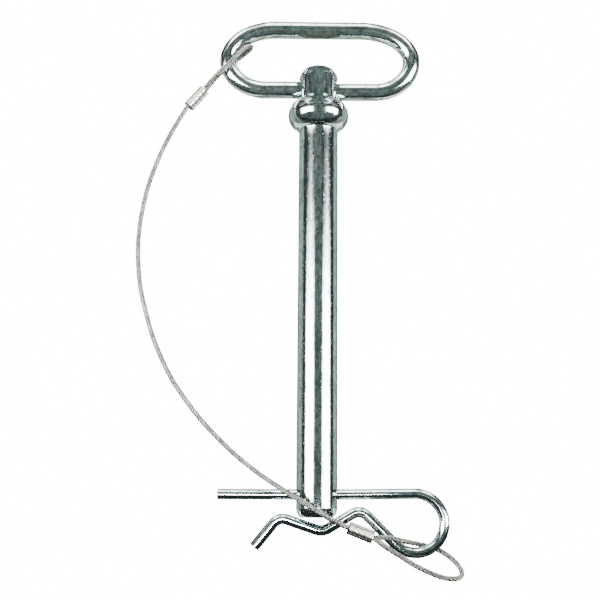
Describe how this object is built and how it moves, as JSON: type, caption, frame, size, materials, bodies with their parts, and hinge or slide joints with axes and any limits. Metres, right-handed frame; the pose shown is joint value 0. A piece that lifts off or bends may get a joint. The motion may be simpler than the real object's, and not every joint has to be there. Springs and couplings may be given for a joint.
{
  "type": "hitch pin",
  "caption": "Hitch pin with a collar bead and swivel handle, held by a hairpin clip that hangs on a crimped wire rope lanyard.",
  "frame": {"origin": "on the pin's axis, at the underside of its collar bead, where the pin bears on the hitch", "axes": "+Z along the pin towards its head, +X along the handle and the clip's straight leg towards the clip's bow, -Y towards the viewer of the picture"},
  "size_m": [0.1274, 0.0248, 0.2257],
  "materials": {
    "pin_zinc": "bright zinc plating over forged steel",
    "handle_zinc": "bright zinc plating over bent rod",
    "clip_zinc": "bright zinc plating over spring wire",
    "wire_rope": "bare stranded steel rope",
    "ferrule_metal": "crimped soft metal"
  },
  "bodies": {
    "pin": {"hitch_pin": "pin_zinc", "lanyard_cable": "wire_rope"},
    "handle": {"swivel_handle": "handle_zinc", "ferrule_upper": "ferrule_metal", "lanyard_loop_top": "wire_rope"},
    "clip": {"hairpin_clip": "clip_zinc", "ferrule_lower": "ferrule_metal", "lanyard_loop_bottom": "wire_rope"}
  },
  "joints": [
    {"name": "handle_swing", "type": "hinge", "parent": "pin", "child": "handle", "pos_m": [0, 0, 0.0174], "axis": [1, 0, 0], "range_deg": [-154, 154], "deforming": ["lanyard_cable"]},
    {"name": "clip_pull", "type": "slide", "parent": "pin", "child": "clip", "axis": [1, 0, 0], "range_m": [0, 0.05], "deforming": ["hairpin_clip", "lanyard_cable"]}
  ]
}
